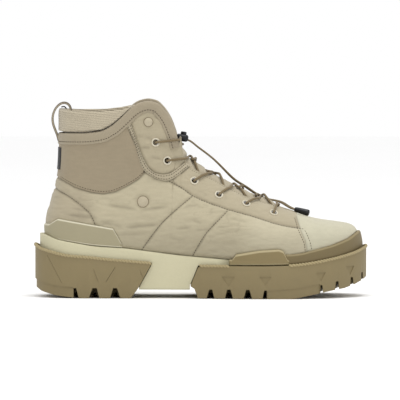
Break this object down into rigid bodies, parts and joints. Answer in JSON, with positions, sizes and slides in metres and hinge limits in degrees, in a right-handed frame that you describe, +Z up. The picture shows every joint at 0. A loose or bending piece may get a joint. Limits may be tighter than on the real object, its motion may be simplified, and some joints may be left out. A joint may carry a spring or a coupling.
{
  "type": "hiking boot",
  "caption": "Right lace-up hiking boot with a quilted upper, pull loop at the heel and a thick two-part lugged sole. It stands empty and open at the collar.",
  "frame": {"origin": "centre of the boot's box at the floor that its tread stands on", "axes": "+X towards the toe, +Y towards the inner (medial) side, +Z up"},
  "size_m": [0.308, 0.1158, 0.1827],
  "materials": {
    "quilted_fabric": "matte quilted nylon",
    "knit_cuff": "ribbed knit",
    "tongue_fabric": "matte padded nylon",
    "binding_tape": "smooth tape, two stitch rows",
    "counter_rubber": "matte",
    "outsole_rubber": "matte",
    "midsole_foam": "fine matte foam skin",
    "insole_fabric": "matte knit",
    "eyelet_metal": "pale satin",
    "snap_cover": "matte",
    "lace_cord": "braided elastic",
    "lock_plastic": "satin black",
    "webbing": "ribbed webbing",
    "label_weave": "blank woven tape"
  },
  "bodies": {
    "root": {"outsole_heel": "outsole_rubber", "outsole_forefoot": "outsole_rubber", "midsole": "midsole_foam", "insole": "insole_fabric", "upper": "quilted_fabric", "heel_counter": "counter_rubber", "toe_rand": "outsole_rubber", "wing_lateral": "outsole_rubber", "wing_medial": "outsole_rubber", "collar_binding": "binding_tape", "collar_cuff": "knit_cuff", "tongue": "tongue_fabric", "eyelet_lateral_1": "eyelet_metal", "eyelet_lateral_2": "eyelet_metal", "eyelet_lateral_3": "eyelet_metal", "eyelet_lateral_4": "eyelet_metal", "eyelet_lateral_5": "eyelet_metal", "eyelet_lateral_6": "eyelet_metal", "eyelet_medial_1": "eyelet_metal", "eyelet_medial_2": "eyelet_metal", "eyelet_medial_3": "eyelet_metal", "eyelet_medial_4": "eyelet_metal", "eyelet_medial_5": "eyelet_metal", "eyelet_medial_6": "eyelet_metal", "snap_lateral_high": "snap_cover", "snap_lateral_low": "snap_cover", "snap_medial_high": "snap_cover", "snap_medial_low": "snap_cover", "lace_cross_1": "lace_cord", "lace_cross_2": "lace_cord", "lace_cross_3": "lace_cord", "lace_cross_4": "lace_cord", "lace_cross_5": "lace_cord", "lace_bar": "lace_cord", "tail_lateral": "lace_cord", "tail_medial": "lace_cord", "cord_lock": "lock_plastic", "cord_end": "lock_plastic", "pull_loop": "webbing", "collar_tab": "label_weave", "heel_label": "label_weave"}
  },
  "joints": []
}
